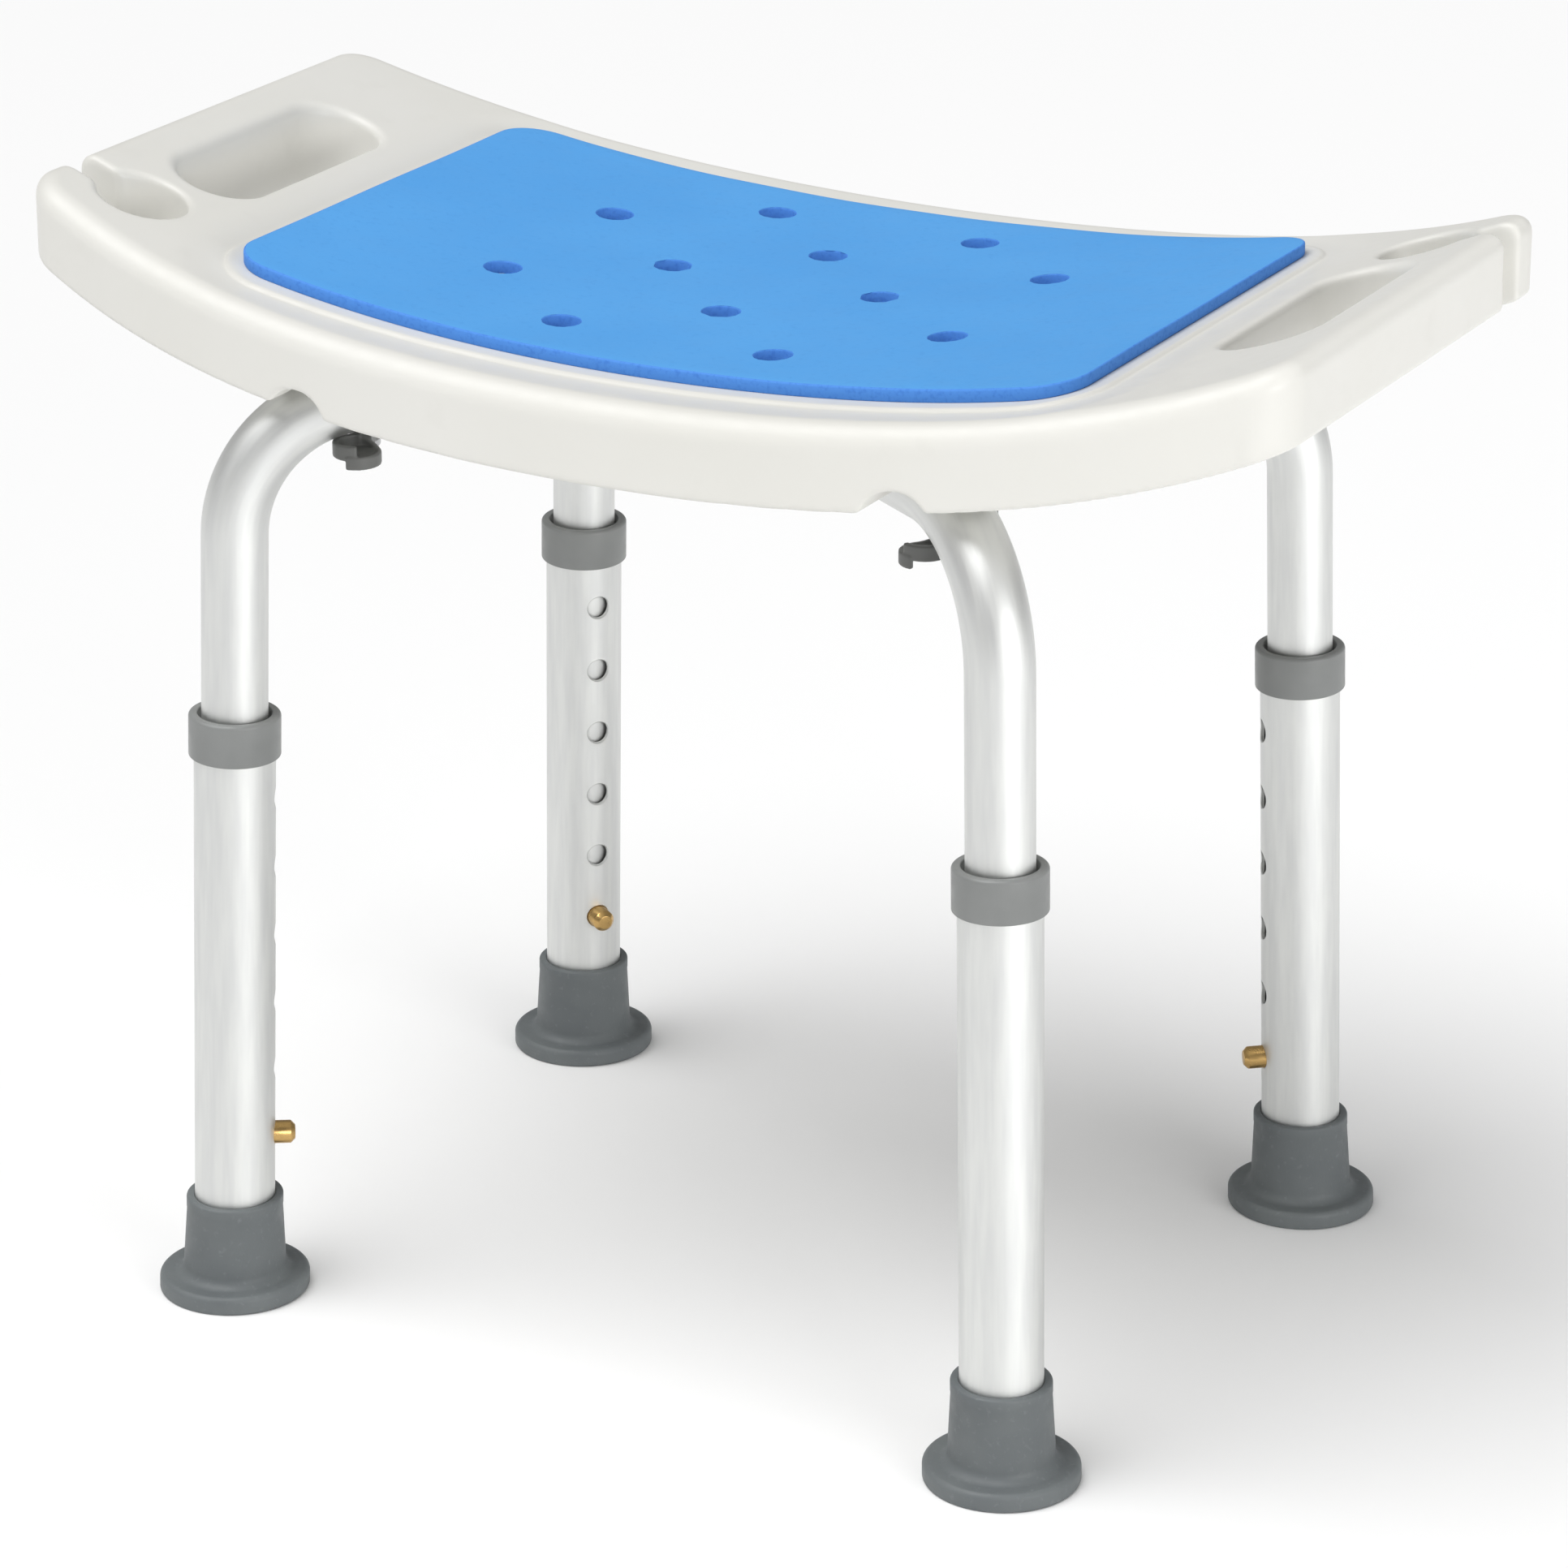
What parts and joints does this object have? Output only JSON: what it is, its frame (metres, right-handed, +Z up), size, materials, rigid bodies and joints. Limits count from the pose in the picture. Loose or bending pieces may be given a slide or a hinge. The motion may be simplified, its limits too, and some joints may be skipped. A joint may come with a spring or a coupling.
{
  "type": "shower stool",
  "caption": "Height-adjustable shower stool: hollow moulded saddle seat with a foam pad, hand-holds and hose-slotted holders, on telescopic aluminium legs with snap buttons and rubber feet.",
  "frame": {"origin": "on the floor under the middle of the seat, at the centre of the four feet", "axes": "+X along the seat's length to its right end, +Y to the back, +Z up; the front is -Y"},
  "size_m": [0.472, 0.2986, 0.3941],
  "materials": {
    "seat_plastic": "satin white blow-moulded polyethylene",
    "pad_foam": "matt closed-cell EVA foam, sky blue",
    "tube_aluminium": "satin anodised",
    "collar_plastic": "satin mid grey",
    "foot_rubber": "matt blue-grey moulded rubber",
    "latch_plastic": "satin dark grey nylon",
    "bush_plastic": "satin natural nylon",
    "button_brass": "yellow passivated",
    "screw_steel": "bright stainless",
    "washer_steel": "plated",
    "spring_steel": "bright spring strip"
  },
  "bodies": {
    "seat_frame": {"seat_shell": "seat_plastic", "seat_pad": "pad_foam", "latch_screws": "screw_steel", "keeper_screws": "screw_steel", "upper_tube_front_left": "tube_aluminium", "upper_tube_front_right": "tube_aluminium", "upper_tube_back_left": "tube_aluminium", "upper_tube_back_right": "tube_aluminium", "tube_end_plug_front_left": "collar_plastic", "tube_end_plug_front_right": "collar_plastic", "tube_end_plug_back_left": "collar_plastic", "tube_end_plug_back_right": "collar_plastic", "guide_bush_front_left": "bush_plastic", "guide_bush_front_right": "bush_plastic", "guide_bush_back_left": "bush_plastic", "guide_bush_back_right": "bush_plastic", "button_spring_front_left": "spring_steel", "button_spring_front_right": "spring_steel", "button_spring_back_left": "spring_steel", "button_spring_back_right": "spring_steel", "tube_keeper_front_left": "latch_plastic", "tube_keeper_front_right": "latch_plastic", "tube_keeper_back_left": "latch_plastic", "tube_keeper_back_right": "latch_plastic"},
    "leg_front_left": {"lower_tube_front_left": "tube_aluminium", "collar_front_left": "collar_plastic", "foot_front_left": "foot_rubber", "foot_washer_front_left": "washer_steel"},
    "button_front_left": {"snap_button_front_left": "button_brass"},
    "latch_front_left": {"leg_latch_front_left": "latch_plastic"},
    "leg_front_right": {"lower_tube_front_right": "tube_aluminium", "collar_front_right": "collar_plastic", "foot_front_right": "foot_rubber", "foot_washer_front_right": "washer_steel"},
    "button_front_right": {"snap_button_front_right": "button_brass"},
    "latch_front_right": {"leg_latch_front_right": "latch_plastic"},
    "leg_back_left": {"lower_tube_back_left": "tube_aluminium", "collar_back_left": "collar_plastic", "foot_back_left": "foot_rubber", "foot_washer_back_left": "washer_steel"},
    "button_back_left": {"snap_button_back_left": "button_brass"},
    "latch_back_left": {"leg_latch_back_left": "latch_plastic"},
    "leg_back_right": {"lower_tube_back_right": "tube_aluminium", "collar_back_right": "collar_plastic", "foot_back_right": "foot_rubber", "foot_washer_back_right": "washer_steel"},
    "button_back_right": {"snap_button_back_right": "button_brass"},
    "latch_back_right": {"leg_latch_back_right": "latch_plastic"}
  },
  "joints": [
    {"name": "front_left_leg_height", "type": "slide", "parent": "seat_frame", "child": "leg_front_left", "axis": [-0.0268, -0.0195, -0.9995], "range_m": [0, 0.127], "deforming": ["snap_button_front_left", "button_spring_front_left"]},
    {"name": "front_left_button_press", "type": "slide", "parent": "seat_frame", "child": "button_front_left", "axis": [-0.8086, -0.5875, 0.0332], "range_m": [0, 0.0086], "stiffness_N_per_m": 1500, "deforming": ["button_spring_front_left"]},
    {"name": "front_left_latch_turn", "type": "hinge", "parent": "seat_frame", "child": "latch_front_left", "pos_m": [-0.11752, -0.07571, 0.31], "axis": [0, 0, 1], "range_deg": [0, 90]},
    {"name": "front_right_leg_height", "type": "slide", "parent": "seat_frame", "child": "leg_front_right", "axis": [0.0268, -0.0195, -0.9995], "range_m": [0, 0.127], "deforming": ["snap_button_front_right", "button_spring_front_right"]},
    {"name": "front_right_button_press", "type": "slide", "parent": "seat_frame", "child": "button_front_right", "axis": [0.8086, -0.5875, 0.0332], "range_m": [0, 0.0086], "stiffness_N_per_m": 1500, "deforming": ["button_spring_front_right"]},
    {"name": "front_right_latch_turn", "type": "hinge", "parent": "seat_frame", "child": "latch_front_right", "pos_m": [0.11752, -0.07571, 0.31], "axis": [0, 0, -1], "range_deg": [0, 90]},
    {"name": "back_left_leg_height", "type": "slide", "parent": "seat_frame", "child": "leg_back_left", "axis": [-0.0268, 0.0195, -0.9995], "range_m": [0, 0.127], "deforming": ["snap_button_back_left", "button_spring_back_left"]},
    {"name": "back_left_button_press", "type": "slide", "parent": "seat_frame", "child": "button_back_left", "axis": [-0.8086, 0.5875, 0.0332], "range_m": [0, 0.0086], "stiffness_N_per_m": 1500, "deforming": ["button_spring_back_left"]},
    {"name": "back_left_latch_turn", "type": "hinge", "parent": "seat_frame", "child": "latch_back_left", "pos_m": [-0.11752, 0.07571, 0.31], "axis": [0, 0, -1], "range_deg": [0, 90]},
    {"name": "back_right_leg_height", "type": "slide", "parent": "seat_frame", "child": "leg_back_right", "axis": [0.0268, 0.0195, -0.9995], "range_m": [0, 0.127], "deforming": ["snap_button_back_right", "button_spring_back_right"]},
    {"name": "back_right_button_press", "type": "slide", "parent": "seat_frame", "child": "button_back_right", "axis": [0.8086, 0.5875, 0.0332], "range_m": [0, 0.0086], "stiffness_N_per_m": 1500, "deforming": ["button_spring_back_right"]},
    {"name": "back_right_latch_turn", "type": "hinge", "parent": "seat_frame", "child": "latch_back_right", "pos_m": [0.11752, 0.07571, 0.31], "axis": [0, 0, 1], "range_deg": [0, 90]}
  ]
}
